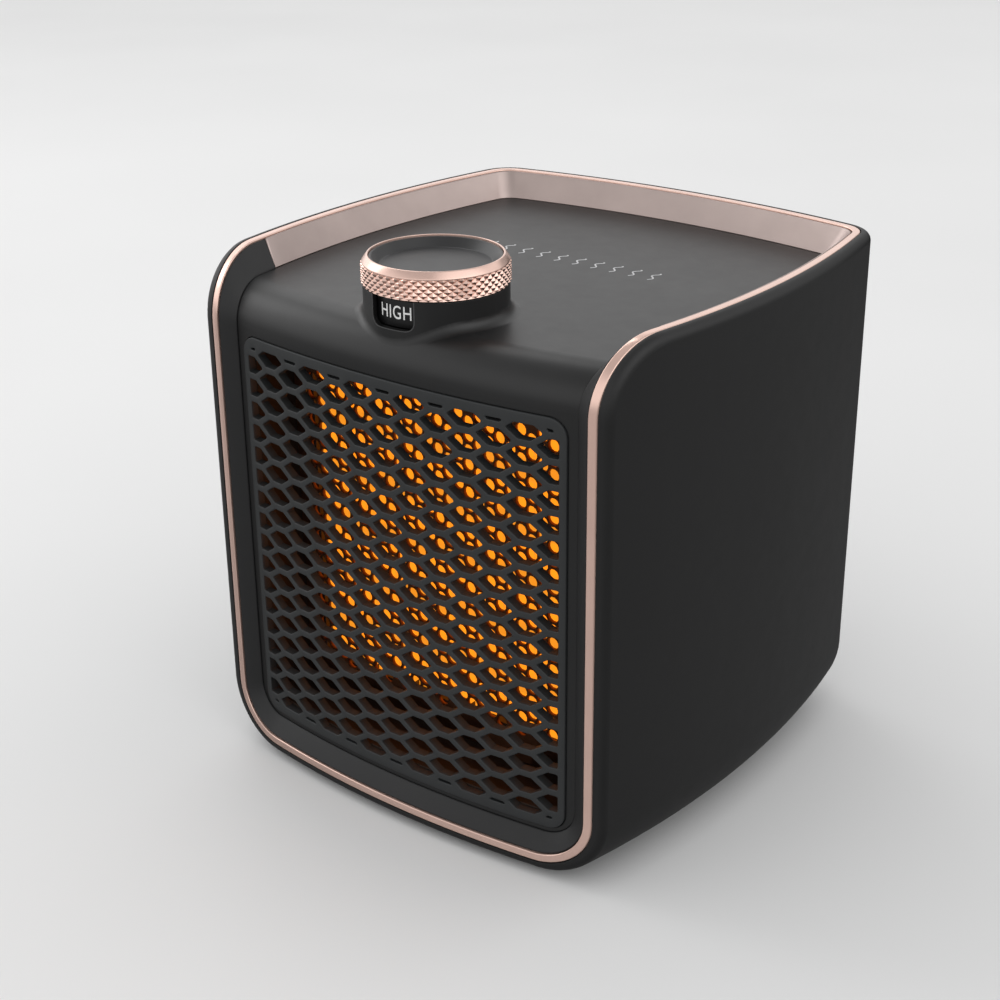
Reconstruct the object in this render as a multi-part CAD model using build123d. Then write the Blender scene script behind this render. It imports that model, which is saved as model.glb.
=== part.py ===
from build123d import *
import math
import os

# Desktop ceramic fan heater. Millimetres, +Z up, front faces -Y, +X is the viewer's right.
# The origin is the middle of the base, on the surface that the heater stands on.

# ---------------------------------------------------------------- driving dimensions
CASE_W = 161.2            # widest point of the bulged sides
CASE_D = 157.8            # front bulge to back bulge
CASE_H = 160.0            # underside of the shell to its rim
FOOT_PROUD = 2.0          # feet below the shell
FRONT_R = 348.9           # plan radius of the bulged front
SIDE_R = 314.2            # plan radius of the bulged sides
BACK_R = 331.1            # plan radius of the bulged back
SIDE_ARC_Y = -2.0         # centre of the side arcs, so that the case is 1 mm narrower at the back
BACK_CORNER_R = 13.0      # upright corners at the back
INNER_CORNER_R = 6.0      # the same corners on the inner housing
BOTTOM_R = 20.3           # rounding along the bottom
FRONT_TOP_R = 19.7        # rounding from the front edge of the shell up to its rim
WALL = 3.2                # shell wall
EDGE_R = 2.8              # rounding outside the trim
TRIM_IN = 3.0             # from the side face to the trim
TRIM_W = 2.9              # width of the metal trim
TRIM_T = 1.0              # thickness of the metal trim
RIM_IN = TRIM_IN + TRIM_W # inner side of the trim
RIM_DEPTH = 6.0           # depth of the shell's thick rim
HOUSE_IN = 11.4           # from the side face to the inner housing
FACE_BACK = 4.3           # inner housing's face behind the shell's front edge
TOP_DOWN = 8.5            # inner housing's top below the rim
HOUSE_TOP_R = 11.5        # rounding from the face to the top of the inner housing
HOUSE_WALL = 2.2
LINER_SLOPE = 3.8         # bevel on the liner, down to the inner housing's face
BAND_START_Y = -46.5      # where the metal band in the rim starts
GAP = 0.1                 # assembly gap between fixed pieces

PANEL_W, PANEL_H, PANEL_R = 117.6, 125.0, 5.4
PANEL_Z = 75.5            # middle of the grille and of the air path
PANEL_T = 2.8
OPEN_W, OPEN_H, OPEN_R = 113.2, 119.7, 4.0
CELL_W, CELL_H = 10.4, 5.2
CELL_FLAT = 3.6           # flat part of a cell's top and bottom edge
CELL_PITCH_X, CELL_PITCH_Z = 9.25, 7.2

DUCT_W, DUCT_H, DUCT_WALL = 117.0, 121.6, 1.8
DUCT_BACK_Y = -18.0
GUARD_Y, GUARD_T = -52.4, 1.2
GUARD_W, GUARD_H = 105.6, 102.4
GUARD_PITCH = 6.1
FRAME_FRONT_Y, FRAME_BACK_Y = -50.8, -34.8
ELEMENT_W, ELEMENT_H = 100.0, 98.0
PTC_BARS, PTC_BAR_H, PTC_DEPTH = 5, 6.0, 12.0
FIN_T, FIN_PITCH = 0.5, 2.8

FAN_R, FAN_HUB_R, FAN_BLADES = 43.0, 14.0, 7
FAN_FRONT_Y, FAN_BACK_Y = 6.0, 20.0
SHROUD_R, SHROUD_WALL = 44.4, 2.0
SHROUD_FRONT_Y, SHROUD_BACK_Y = -17.8, 24.0
SHAFT_R = 1.5
MOTOR_R, MOTOR_BACK_Y = 17.5, 54.0

KNOB_Y = -51.0            # knob axis
COLLAR_R, COLLAR_BORE = 20.5, 18.9
COLLAR_TOP = 159.9
COLLAR_FILLET = 3.0       # flare at the collar's foot
KNOB_R, KNOB_BOTTOM, KNOB_SHOULDER, KNOB_TOP = 20.9, 160.2, 166.4, 168.2
KNOB_LIP_R = 18.9
DISH_FLOOR_R, DISH_FLOOR_Z = 15.7, 165.2
DRUM_R, DRUM_BOTTOM = 18.6, 151.7
WINDOW_W, WINDOW_CORNER_R = 14.0, 2.5
WINDOW_TURN = 2.3         # degrees from straight ahead to the window's middle, towards the right
WINDOW_BOTTOM = 151.6
FLUTES = 72

FOOT_X, FOOT_Y, FOOT_R = 46.0, 45.0, 7.0
BOSS_TOP = 12.0           # top of the shell's bosses, which carry the chassis tray
TRAY_TOP = 14.6
PLUNGER_X, PLUNGER_Y, PLUNGER_R = -30.0, 38.0, 3.0
GLAND_X, GLAND_Z, GLAND_R = 46.0, 24.0, 5.4
REAR_W, REAR_H, REAR_Z = 96.0, 84.0, 82.0
SWITCH_POST_X = 27.0
HOUSING_SCREW_Y, HOUSING_SCREW_Z = (-10.0, 6.0), 32.0
TERMINAL_X = (30.0, 39.5, 49.0)
MOTOR_SCREW_ANGLES, MOTOR_SCREW_PCR = (30, 150, 270), 11.5

# ---------------------------------------------------------------- derived places
FRONT_CY = -CASE_D / 2 + FRONT_R
BACK_CY = CASE_D / 2 - BACK_R
SIDE_CX = CASE_W / 2 - SIDE_R
PANEL_BACK_R = FRONT_R - FACE_BACK + 0.6 - PANEL_T    # the grille stands 0.6 mm proud of the face
FAR = 300.0

os.makedirs("parts", exist_ok=True)
nodes = {}


def add(name, shape):
    nodes[name] = Pos(0, 0, FOOT_PROUD) * shape


def group(shapes):
    """Separate solids kept together in one node."""
    return Compound([solid for shape in shapes for solid in shape.solids()])


# ---------------------------------------------------------------- shared envelopes
def sides_and_base(inset):
    """Everything inside the side, back and bottom faces moved in by inset; open at the front and top."""
    plan = Pos(SIDE_CX, SIDE_ARC_Y) * Circle(SIDE_R - inset)
    plan = plan & Pos(-SIDE_CX, SIDE_ARC_Y) * Circle(SIDE_R - inset)
    plan = plan & Pos(0, BACK_CY) * Circle(BACK_R - inset)
    plan = plan & Pos(0, -20) * Rectangle(FAR, 240)
    solid = Pos(0, 0, inset) * extrude(plan, CASE_H + 40)
    upright = [e for e in solid.edges().filter_by(Axis.Z) if e.center().Y > 40]
    solid = fillet(upright, max(BACK_CORNER_R - inset, INNER_CORNER_R))
    low = [e for e in solid.edges().group_by(Axis.Z)[0] if e.center().Y > -130]
    return fillet(low, BOTTOM_R - inset)


def front_and_top(front_in, top_in, radius):
    """Everything behind the bulged front and under the rim plane, both moved in, with a rounded edge."""
    plan = Pos(0, FRONT_CY) * Circle(FRONT_R - front_in) & Pos(0, 20) * Rectangle(240, 240)
    solid = Pos(0, 0, -20) * extrude(plan, CASE_H + 20 - top_in)
    edge = [e for e in solid.edges().group_by(Axis.Z)[-1] if e.geom_type == GeomType.CIRCLE]
    return fillet(edge, radius)


def rim_edges(solid, top_z):
    """The loop of edges around the front face, the rounding above it and the top face."""
    faces = [f for f in solid.faces() if f.center().Z > top_z - 0.01]
    middle = [f for f in solid.faces() if f.center().Y < -65 and abs(f.center().X) < 1]
    faces += [f for f in middle if f not in faces]
    seen = [e for f in faces for e in f.edges()]
    return [e for e in seen if sum(1 for other in seen if other.is_same(e)) == 1]


def rounded_block(width, height, radius, y_from, y_to, z_mid, x_mid=0.0):
    """A block along Y with a rounded-rectangle section."""
    section = Plane.XZ * Pos(x_mid, z_mid) * RectangleRounded(width, height, radius)
    return Pos(0, y_to, 0) * extrude(section, y_to - y_from)


def rod_y(radius, y_from, y_to, x=0.0, z=PANEL_Z):
    return Pos(x, (y_from + y_to) / 2, z) * Rot(90, 0, 0) * Cylinder(radius, y_to - y_from)


def rod_z(radius, z_from, z_to, x=0.0, y=0.0):
    return Pos(x, y, (z_from + z_to) / 2) * Cylinder(radius, z_to - z_from)


def rod_x(radius, x_from, x_to, y, z):
    return Pos((x_from + x_to) / 2, y, z) * Rot(0, 90, 0) * Cylinder(radius, x_to - x_from)


def block(x_from, x_to, y_from, y_to, z_from, z_to):
    centre = Pos((x_from + x_to) / 2, (y_from + y_to) / 2, (z_from + z_to) / 2)
    return centre * Box(x_to - x_from, y_to - y_from, z_to - z_from)


def screw(length, thread_r, head_r, head_h):
    """A pan-head screw: head on top of z = 0, thread below."""
    head = Pos(0, 0, head_h / 2) * Cylinder(head_r, head_h)
    slot = Pos(0, 0, head_h) * Box(head_r * 1.3, head_r * 0.3, head_h * 0.8)
    cross = Pos(0, 0, head_h) * Box(head_r * 0.3, head_r * 1.3, head_h * 0.8)
    return head + Pos(0, 0, -length / 2) * Cylinder(thread_r, length) - slot - cross


FEET = [(x, y) for x in (-FOOT_X, FOOT_X) for y in (-FOOT_Y, FOOT_Y)]
REAR_SCREWS = [(x, REAR_Z + z) for x in (-43.6, 43.6) for z in (-37.6, 37.6)]

envelope = sides_and_base(0)
front_0 = front_and_top(0, 0, FRONT_TOP_R)
inside_rim = sides_and_base(RIM_IN + GAP)


# ---------------------------------------------------------------- outer shell and its trim
def outer_shell():
    solid = envelope & front_0
    solid = fillet(rim_edges(solid, CASE_H), EDGE_R)
    cavity = sides_and_base(WALL) & front_and_top(RIM_DEPTH, RIM_DEPTH, FRONT_TOP_R - RIM_DEPTH)
    solid = solid - inside_rim - cavity
    solid = solid - (front_0 - front_and_top(TRIM_T, TRIM_T, FRONT_TOP_R - TRIM_T)
                     & sides_and_base(TRIM_IN))
    # rear inlet: a rabbet for the grille and the opening behind it
    back_skin = rod_z(BACK_R + 5, -20, FAR, y=BACK_CY) - rod_z(BACK_R - 1.8, -30, FAR + 10, y=BACK_CY)
    solid = solid - (rounded_block(REAR_W, REAR_H, 10, 50, 90, REAR_Z) & back_skin)
    for x, z in REAR_SCREWS:
        wall_y = BACK_CY + math.sqrt((BACK_R - 2.0) ** 2 - (abs(x) + 3.4) ** 2)
        solid = solid + rod_y(3.4, wall_y - 7, wall_y, x, z)
        solid = solid - rod_y(1.2, wall_y - 8, wall_y + 6, x, z)
    solid = solid - rounded_block(REAR_W - 8, REAR_H - 8, 13, 50, 90, REAR_Z)
    # bosses for the chassis, foot pockets and screw holes
    for x, y in FEET:
        solid = solid + rod_z(5.0, WALL - 0.5, BOSS_TOP, x, y)
        solid = solid - rod_z(FOOT_R + 0.15, -5, 1.0, x, y) - rod_z(3.1, -5, 3.0, x, y)
        solid = solid - rod_z(1.8, -5, BOSS_TOP + 1, x, y)
    solid = solid - rod_z(PLUNGER_R + 0.2, -5, 5, PLUNGER_X, PLUNGER_Y)
    return solid - rod_y(GLAND_R + 0.05, 60, 90, GLAND_X, GLAND_Z)


def trim_ring():
    layer = front_0 - front_and_top(TRIM_T - 0.02, TRIM_T - 0.02, FRONT_TOP_R - TRIM_T)
    return (layer & sides_and_base(TRIM_IN + 0.05)) - sides_and_base(RIM_IN)


def front_liner():
    """The dark sloping frame between the trim and the inner housing, at the front and over its rounding."""
    ring = (inside_rim & front_and_top(0.5, 0.5, FRONT_TOP_R - 0.5)) - front_and_top(9, 9, FRONT_TOP_R - 9)
    ring = ring - sides_and_base(HOUSE_IN - GAP)
    ring = ring & block(-FAR, FAR, -FAR, BAND_START_Y - 0.1, -10, FAR)
    inner = sides_and_base((RIM_IN + HOUSE_IN) / 2)
    skin = front_and_top(0.6, 0.6, FRONT_TOP_R - 0.6)
    edge = [e for e in ring.edges() if inner.is_inside(e @ 0.5) and not skin.is_inside(e @ 0.5)
            and (e @ 0.5).Y < BAND_START_Y - 1]
    return chamfer(edge, LINER_SLOPE)


def rim_band():
    """The metal band that lines the recess around the top: upright outside, leaning inwards inside."""
    def plan(inset, z):
        face = Pos(SIDE_CX, SIDE_ARC_Y) * Circle(SIDE_R - inset)
        face = face & Pos(-SIDE_CX, SIDE_ARC_Y) * Circle(SIDE_R - inset)
        face = face & Pos(0, BACK_CY) * Circle(BACK_R - inset) & Pos(0, 30) * Rectangle(FAR, 200)
        corners = [v for v in face.vertices() if v.Y > 40]
        return Pos(0, 0, z) * fillet(corners, INNER_CORNER_R + 0.4)
    low = CASE_H - TOP_DOWN - 0.3
    well = loft([plan(HOUSE_IN - 0.4, low).face(), plan(RIM_IN + 0.7, CASE_H + 0.2).face()], ruled=True)
    band = inside_rim & block(-FAR, FAR, BAND_START_Y, FAR, low, CASE_H - 0.4)
    return band - well


# ---------------------------------------------------------------- inner housing and grille
def inner_housing():
    solid = sides_and_base(HOUSE_IN) & front_and_top(FACE_BACK, TOP_DOWN, HOUSE_TOP_R)
    inner = HOUSE_IN + HOUSE_WALL
    hollow = sides_and_base(inner) & front_and_top(FACE_BACK + HOUSE_WALL, TOP_DOWN + HOUSE_WALL,
                                                   HOUSE_TOP_R - HOUSE_WALL)
    top_z = CASE_H - TOP_DOWN
    solid = solid + rod_z(COLLAR_R, top_z - 10, COLLAR_TOP, y=KNOB_Y)
    solid = fillet(foot_edges(solid), COLLAR_FILLET)
    solid = solid - hollow
    solid = solid - block(-FAR, FAR, -60, FAR, -10, 21)
    solid = solid - block(-FAR, FAR, 62, FAR, -10, top_z - HOUSE_WALL)
    for x in (-SWITCH_POST_X, SWITCH_POST_X):
        solid = solid + rod_z(3.5, 142, top_z - 1, x, KNOB_Y)
        solid = solid - rod_z(1.2, 138, top_z - 2.5, x, KNOB_Y)
    for y in HOUSING_SCREW_Y:
        solid = solid - rod_x(1.5, -FAR, FAR, y, HOUSING_SCREW_Z)
    solid = solid - rod_z(COLLAR_BORE, 100, FAR, y=KNOB_Y)
    solid = solid - rounded_block(PANEL_W + 0.4, PANEL_H + 0.4, PANEL_R + 0.2, -100, -60, PANEL_Z)
    return solid - collar_window()


def foot_edges(solid):
    """The edges where the collar's tube meets the top and the rounding of the housing."""
    found = []
    for edge in solid.edges():
        middle = edge @ 0.5
        from_axis = math.hypot(middle.X, middle.Y - KNOB_Y)
        if abs(from_axis - COLLAR_R) < 0.1 and middle.Z < COLLAR_TOP - 1 and edge.geom_type != GeomType.LINE:
            found.append(edge)
    return found


def collar_window():
    """Cutter for the window in front of the lettered drum: open at the top, with rounded lower corners."""
    turn = math.radians(WINDOW_TURN)
    facing = Plane(origin=(0, KNOB_Y, WINDOW_BOTTOM), x_dir=(math.cos(turn), math.sin(turn), 0),
                   z_dir=(math.sin(turn), -math.cos(turn), 0))
    tall = COLLAR_TOP - WINDOW_BOTTOM + 2 * WINDOW_CORNER_R
    opening = Pos(0, tall / 2) * RectangleRounded(WINDOW_W, tall, WINDOW_CORNER_R)
    return extrude(facing * opening, COLLAR_R + 5)


def lattice(width, height, radius):
    """Staggered columns of rounded, flattened hexagons, clipped by a rounded rectangle."""
    half_w, half_h, flat = CELL_W / 2, CELL_H / 2, CELL_FLAT / 2
    outline = Polyline((half_w, 0), (flat, half_h), (-flat, half_h), (-half_w, 0), (-flat, -half_h),
                       (flat, -half_h), close=True)
    cell = make_face(outline)
    clip = RectangleRounded(width, height, radius)
    whole, cut = [], []
    for column in range(-6, 7):
        rows = range(-8, 9) if column % 2 else [r + 0.5 for r in range(-9, 9)]
        for row in rows:
            x, z = column * CELL_PITCH_X, row * CELL_PITCH_Z
            near_side = abs(x) + half_w > width / 2 - 1 or abs(z) + half_h > height / 2 - 0.01
            (cut if near_side else whole).append(Pos(x, z) * cell)
    clipped = []
    for piece in cut:
        part = piece & clip
        clipped += [f for f in part.faces() if f.area > 1.5]
    return whole, clipped


def front_grille():
    curve = rod_z(PANEL_BACK_R + PANEL_T, -20, FAR, y=FRONT_CY)
    curve = curve - rod_z(PANEL_BACK_R, -30, FAR, y=FRONT_CY)
    whole, clipped = lattice(OPEN_W, OPEN_H, OPEN_R)
    outer = RectangleRounded(PANEL_W, PANEL_H, PANEL_R).face().outer_wire()
    holes = [c.face().outer_wire() for c in whole] + [f.outer_wire() for f in clipped]
    plate = Plane.XZ * Pos(0, PANEL_Z) * Face(outer, holes)
    return (Pos(0, -50, 0) * extrude(plate, 40)) & curve


def inner_guard():
    """A perforated sheet in front of the heating element."""
    radius = GUARD_PITCH / math.sqrt(3) - 0.45
    hexagon = RegularPolygon(radius, 6).face().outer_wire()
    step_x = GUARD_PITCH * math.sqrt(3) / 2
    columns = int((GUARD_W / 2 - radius) / step_x)
    rows = int((GUARD_H / 2 - radius) / GUARD_PITCH)
    holes = []
    for column in range(-columns, columns + 1):
        shift = 0.5 if column % 2 else 0.0
        for row in range(-rows, rows + (0 if shift else 1)):
            holes.append(Pos(column * step_x, (row + shift) * GUARD_PITCH) * hexagon)
    outer = RectangleRounded(DUCT_W - 2 * DUCT_WALL - 0.4, DUCT_H - 2 * DUCT_WALL - 0.4, 3)
    plate = Plane.XZ * Pos(0, PANEL_Z) * Face(outer.face().outer_wire(), holes)
    return Pos(0, GUARD_Y + GUARD_T, 0) * extrude(plate, GUARD_T)


# ---------------------------------------------------------------- air path and heating element
def outlet_duct():
    """The duct from the fan to the grille. Its front edge follows the back of the bulged grille."""
    tube = rounded_block(DUCT_W, DUCT_H, 4.5, -CASE_D / 2, DUCT_BACK_Y, PANEL_Z)
    tube = tube & rod_z(PANEL_BACK_R - 0.3, 0, FAR, y=FRONT_CY)
    bore_w, bore_h = DUCT_W - 2 * DUCT_WALL, DUCT_H - 2 * DUCT_WALL
    return tube - rounded_block(bore_w, bore_h, 3.2, -CASE_D / 2 - 1, DUCT_BACK_Y + 1, PANEL_Z)


def fan_shroud():
    plate = rounded_block(DUCT_W, DUCT_H, 4.5, SHROUD_FRONT_Y, SHROUD_FRONT_Y + 2.5, PANEL_Z)
    ring = rod_y(SHROUD_R + SHROUD_WALL, SHROUD_FRONT_Y, SHROUD_BACK_Y)
    return plate + ring - rod_y(SHROUD_R, SHROUD_FRONT_Y - 1, SHROUD_BACK_Y + 1)


def element_frame():
    outer = (DUCT_W - 2 * DUCT_WALL - 0.4, DUCT_H - 2 * DUCT_WALL - 0.4)
    frame = rounded_block(outer[0], outer[1], 3, FRAME_FRONT_Y, FRAME_BACK_Y, PANEL_Z)
    inside = (ELEMENT_W + 0.2, ELEMENT_H + 0.2)
    return frame - rounded_block(inside[0], inside[1], 1, FRAME_FRONT_Y - 1, FRAME_BACK_Y + 1, PANEL_Z)


FIN_H = (ELEMENT_H - PTC_BARS * PTC_BAR_H) / (PTC_BARS + 1)
ELEMENT_MID_Y = (FRAME_FRONT_Y + FRAME_BACK_Y) / 2


def ptc_bars():
    bottom = PANEL_Z - ELEMENT_H / 2
    bars = []
    for k in range(PTC_BARS):
        z = bottom + FIN_H * (k + 1) + PTC_BAR_H * (k + 0.5)
        bars.append(Pos(0, ELEMENT_MID_Y, z) * Box(ELEMENT_W, PTC_DEPTH, PTC_BAR_H))
    return group(bars)


def heater_fins():
    """Corrugated aluminium strips between the ceramic bars, as square waves."""
    half, t = (FIN_H - 0.1 - FIN_T) / 2, FIN_T / 2
    count = int((ELEMENT_W - 2) / FIN_PITCH)
    first, second = [], []
    for k in range(count + 1):
        x = (k - count / 2) * FIN_PITCH
        rising = 1 if k % 2 == 0 else -1
        # a fin runs from one flat to the other; each corner is offset both ways by half the thickness
        first += [(x - rising * t, -rising * half + t), (x - rising * t, rising * half + t)]
        second += [(x + rising * t, -rising * half - t), (x + rising * t, rising * half - t)]
    strip = make_face(Polyline(*first, *reversed(second), close=True))
    bottom = PANEL_Z - ELEMENT_H / 2
    stacks = []
    for k in range(PTC_BARS + 1):
        z = bottom + FIN_H * (k + 0.5) + PTC_BAR_H * k
        face = Plane.XZ * Pos(0, z) * strip
        stacks.append(Pos(0, ELEMENT_MID_Y + PTC_DEPTH / 2, 0) * extrude(face, PTC_DEPTH))
    return group(stacks)


def element_terminals():
    """Brass tabs that stand out of the back of the frame."""
    tabs = []
    for x in (-24.0, 0.0, 24.0):
        z = PANEL_Z - ELEMENT_H / 2 - 5
        tabs.append(block(x - 3, x + 3, FRAME_BACK_Y, FRAME_BACK_Y + 11, z - 0.4, z + 0.4))
    return group(tabs)


def thermostat():
    """Bimetal cut-out on a small bracket at the top of the frame."""
    z = PANEL_Z + ELEMENT_H / 2 + 4
    body = rod_y(5.5, FRAME_BACK_Y + 0.05, FRAME_BACK_Y + 7, 20, z)
    tabs = [block(20 + dx - 1.5, 20 + dx + 1.5, FRAME_BACK_Y + 6, FRAME_BACK_Y + 12, z - 0.4, z + 0.4)
            for dx in (-3, 3)]
    return body + tabs[0] + tabs[1]


def thermal_fuse():
    z = PANEL_Z + ELEMENT_H / 2 + 4
    tube = Pos(-20, FRAME_BACK_Y + 2.2, z) * Rot(0, 90, 0) * Cylinder(2.0, 12)
    lead = Pos(-20, FRAME_BACK_Y + 2.2, z) * Rot(0, 90, 0) * Cylinder(0.5, 26)
    return tube + lead


# ---------------------------------------------------------------- fan and motor
def fan_blades():
    hub = rod_y(FAN_HUB_R, FAN_FRONT_Y, FAN_BACK_Y) - rod_y(FAN_HUB_R - 2, FAN_FRONT_Y + 2.5, FAN_BACK_Y + 1)
    boss = rod_y(4.0, FAN_FRONT_Y + 1, FAN_BACK_Y)
    mid_y = (FAN_FRONT_Y + FAN_BACK_Y) / 2
    # a blade is a thin plate lofted from a steep root to a flatter tip
    sections = []
    stations = ((FAN_HUB_R - 1.0, 13.0, 48.0), (30.0, 21.0, 33.0), (FAN_R - 0.8, 27.0, 24.0))
    for radius, chord, pitch in stations:
        plane = Plane(origin=(0, mid_y, PANEL_Z + radius), x_dir=(1, 0, 0), z_dir=(0, 0, 1))
        sections.append((plane * Rot(0, 0, pitch) * RectangleRounded(chord, 1.8, 0.8)).face())
    blade = loft(sections)
    wheel = hub + boss
    centre = Axis((0, 0, PANEL_Z), (0, 1, 0))
    for k in range(FAN_BLADES):
        wheel = wheel + blade.rotate(centre, 360 / FAN_BLADES * k)
    wheel = wheel & rod_y(FAN_R, FAN_FRONT_Y - 5, FAN_BACK_Y + 5)
    return wheel - rod_y(SHAFT_R, FAN_FRONT_Y - 5, FAN_BACK_Y + 5)


def motor_bracket():
    outer = SHROUD_R + SHROUD_WALL
    y0, y1 = SHROUD_BACK_Y + GAP, SHROUD_BACK_Y + 3.0
    ring = rod_y(outer, y0, y1) - rod_y(SHROUD_R, y0 - 1, y1 + 1)
    arms = [block(-3, 3, y0, y1, PANEL_Z, PANEL_Z + outer - 1).rotate(Axis((0, 0, PANEL_Z), (0, 1, 0)), a)
            for a in (45, 135, 225, 315)]
    plate = rod_y(MOTOR_R + 2, y0, y1)
    bracket = ring + arms[0] + arms[1] + arms[2] + arms[3] + plate
    return bracket - rod_y(5.2, y0 - 1, y1 + 1) - motor_screw_holes()


def motor_screw_holes():
    holes = [rod_y(1.25, 20, 32, MOTOR_SCREW_PCR * math.cos(math.radians(a)),
                   PANEL_Z + MOTOR_SCREW_PCR * math.sin(math.radians(a))) for a in MOTOR_SCREW_ANGLES]
    return group(holes)


def motor_case():
    front = SHROUD_BACK_Y + 3.0 + GAP
    can = rod_y(MOTOR_R, front, MOTOR_BACK_Y) - rod_y(MOTOR_R - 1.2, front + 1.2, MOTOR_BACK_Y + 1)
    return can - rod_y(4.0, front - 1, front + 3) - motor_screw_holes()


def motor_end_cap():
    back = MOTOR_BACK_Y
    cap = rod_y(MOTOR_R, back + 0.05, back + 2.0) + rod_y(6.0, back + 1.5, back + 6)
    spigot = rod_y(MOTOR_R - 1.3, back - 2, back + 1) - rod_y(MOTOR_R - 3, back - 3, back)
    return cap + spigot - rod_y(4.0, back - 3, back + 4.5)


def motor_bushes():
    front = SHROUD_BACK_Y + 3.0 + GAP
    bore = SHAFT_R + 0.05
    first = rod_y(4.0, front, front + 3) - rod_y(bore, front - 1, front + 5)
    second = rod_y(4.0, MOTOR_BACK_Y, MOTOR_BACK_Y + 4) - rod_y(bore, MOTOR_BACK_Y - 1, MOTOR_BACK_Y + 5)
    return group([first, second])


def motor_magnets():
    """Two field magnets inside the can."""
    ring = rod_y(MOTOR_R - 1.25, 33, 49) - rod_y(12.6, 30, 52)
    side = block(-9, 9, 20, 60, 0, FAR)
    halves = ring - side
    return group(halves.solids())


def motor_rotor():
    core = rod_y(11.8, 34, 48) - rod_y(SHAFT_R, 30, 52)
    for k in range(5):
        slot = block(-1.2, 1.2, 30, 52, PANEL_Z + 6, PANEL_Z + 13)
        core = core - slot.rotate(Axis((0, 0, PANEL_Z), (0, 1, 0)), 72 * k)
    return core


def motor_shaft():
    return rod_y(SHAFT_R, FAN_FRONT_Y - 2.0, MOTOR_BACK_Y + 4.0)


def fan_clip():
    """Push-on retainer at the front end of the shaft."""
    disc = rod_y(4.0, FAN_FRONT_Y - 1.6, FAN_FRONT_Y - 0.05)
    return disc - rod_y(SHAFT_R, FAN_FRONT_Y - 3, FAN_FRONT_Y + 1)


def motor_screws():
    screws = []
    for a in MOTOR_SCREW_ANGLES:
        x = MOTOR_SCREW_PCR * math.cos(math.radians(a))
        z = PANEL_Z + MOTOR_SCREW_PCR * math.sin(math.radians(a))
        screws.append(Pos(x, SHROUD_BACK_Y, z) * Rot(90, 0, 0) * screw(5.0, 1.25, 2.4, 1.6))
    return group(screws)


# ---------------------------------------------------------------- knob and its switch
def knob_ring():
    bore = KNOB_LIP_R - 0.2
    profile = Polyline((bore, KNOB_BOTTOM), (KNOB_R - 0.4, KNOB_BOTTOM), (KNOB_R, KNOB_BOTTOM + 0.4),
                       (KNOB_R, KNOB_SHOULDER - 0.8), (KNOB_R - 0.5, KNOB_SHOULDER),
                       (KNOB_LIP_R + 0.4, KNOB_TOP), (bore, KNOB_TOP), close=True)
    ring = revolve(Plane.XZ * make_face(profile), Axis.Z)
    notch = rod_z(0.55, KNOB_BOTTOM + 0.5, KNOB_SHOULDER - 0.9, x=KNOB_R + 0.25)
    notches = [Rot(0, 0, 360 / FLUTES * k) * notch for k in range(FLUTES)]
    return Pos(0, KNOB_Y, 0) * (ring - group(notches))


def knob_cap():
    bore = KNOB_LIP_R - 0.2
    profile = Polyline((0, DISH_FLOOR_Z), (DISH_FLOOR_R, DISH_FLOOR_Z), (bore - 0.9, KNOB_TOP - 0.5),
                       (bore, KNOB_TOP - 0.5), (bore, DISH_FLOOR_Z - 2.2), (6.0, DISH_FLOOR_Z - 2.2),
                       (5.0, 157), (0, 157), close=True)
    cap = Pos(0, KNOB_Y, 0) * revolve(Plane.XZ * make_face(profile), Axis.Z)
    return cap - d_shaft(160.5)


def label_drum():
    wall = rod_z(DRUM_R, DRUM_BOTTOM, KNOB_BOTTOM - 0.05, y=KNOB_Y)
    top = rod_z(DRUM_R, KNOB_BOTTOM - 1.5, DISH_FLOOR_Z - 2.25, y=KNOB_Y)
    inside = rod_z(DRUM_R - 1.6, DRUM_BOTTOM - 1, KNOB_BOTTOM - 1.5, y=KNOB_Y)
    return wall - inside + top - rod_z(6.3, 140, FAR, y=KNOB_Y)


def d_shaft(top):
    flat = block(-5, 5, KNOB_Y + 2.2, KNOB_Y + 6, 155.5, FAR)
    return rod_z(3.0, 141.5, top, y=KNOB_Y) - flat


def rotary_switch():
    low = block(-13, 13, KNOB_Y - 13, KNOB_Y + 13, 139.6, 148.6)
    high = rod_z(12.0, 148, 152.5, y=KNOB_Y) + rod_z(5.0, 152, 155.4, y=KNOB_Y)
    return low + high - rod_z(3.05, 141.3, 160, y=KNOB_Y)


def switch_bracket():
    bracket = block(-31, 31, KNOB_Y - 12, KNOB_Y + 12, 138.1, 139.5)
    for x in (-SWITCH_POST_X, SWITCH_POST_X):
        bracket = bracket + rod_z(3.5, 139, 141.9, x, KNOB_Y) - rod_z(1.45, 130, 145, x, KNOB_Y)
    return bracket


def switch_screws():
    one = Rot(180, 0, 0) * screw(8.0, 1.2, 2.4, 1.5)
    return group([Pos(x, KNOB_Y, 138.1) * one for x in (-SWITCH_POST_X, SWITCH_POST_X)])


# ---------------------------------------------------------------- base, rear and small pieces
def chassis_tray():
    """Plate on the shell's bosses, with a saddle for the fan shroud and two arms for the inner housing."""
    plate = block(-56, 56, -58, 56, BOSS_TOP + GAP, TRAY_TOP)
    plate = fillet(plate.edges().filter_by(Axis.Z), 6)
    for x, y in FEET:
        plate = plate - rod_z(1.25, 5, 20, x, y)
    plate = plate - rod_z(10.5, 5, 20, PLUNGER_X, PLUNGER_Y)
    arm = block(-66, 66, -16, 12, BOSS_TOP + GAP, TRAY_TOP)
    arm = arm + block(-66, -63.5, -16, 12, TRAY_TOP, 40) + block(63.5, 66, -16, 12, TRAY_TOP, 40)
    for y in HOUSING_SCREW_Y:
        arm = arm - rod_x(1.25, -FAR, FAR, y, HOUSING_SCREW_Z)
    return plate + arm + saddle()


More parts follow.
